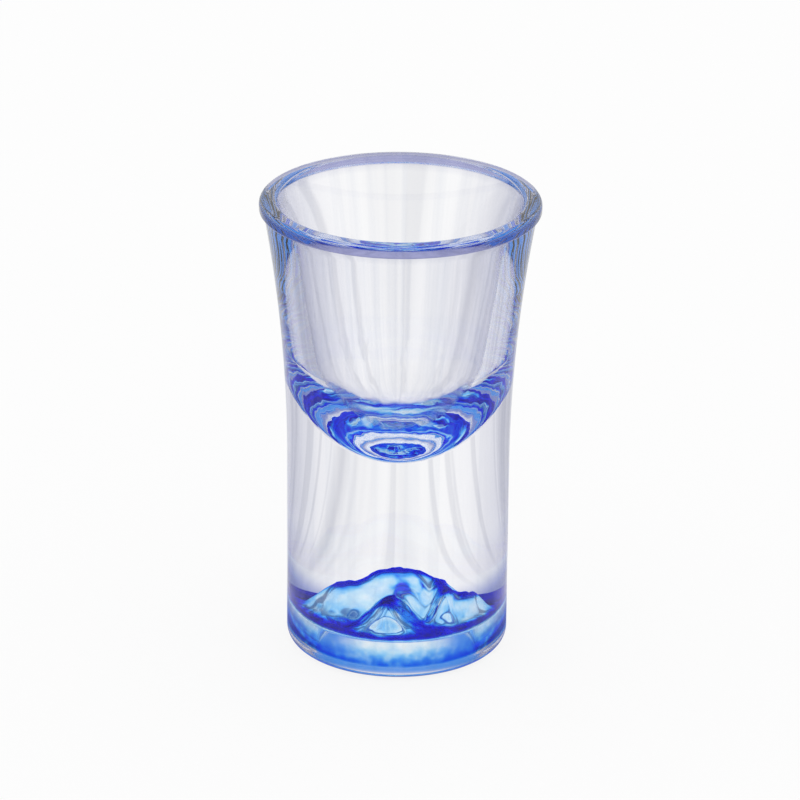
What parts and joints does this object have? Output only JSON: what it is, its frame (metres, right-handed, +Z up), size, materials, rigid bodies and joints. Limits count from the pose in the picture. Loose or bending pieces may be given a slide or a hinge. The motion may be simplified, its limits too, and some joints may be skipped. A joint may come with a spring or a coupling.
{
  "type": "shot glass",
  "caption": "Small pressed shot glass with a heavy clear base, a flared mouth and a blue-lacquered mountain relief pressed up into its underside.",
  "frame": {"origin": "centre of the foot ring, on the surface the glass stands on", "axes": "+Z up along the glass's axis; -Y is the side the mountain's front spurs face"},
  "size_m": [0.0412, 0.0412, 0.07],
  "materials": {
    "clear_glass": "fire-polished pressed soda-lime glass",
    "blue_lacquer": "translucent blue lacquer, glossy, sprayed inside the hollow"
  },
  "bodies": {
    "root": {"glass_body": "clear_glass", "base_lacquer": "blue_lacquer"}
  },
  "joints": []
}
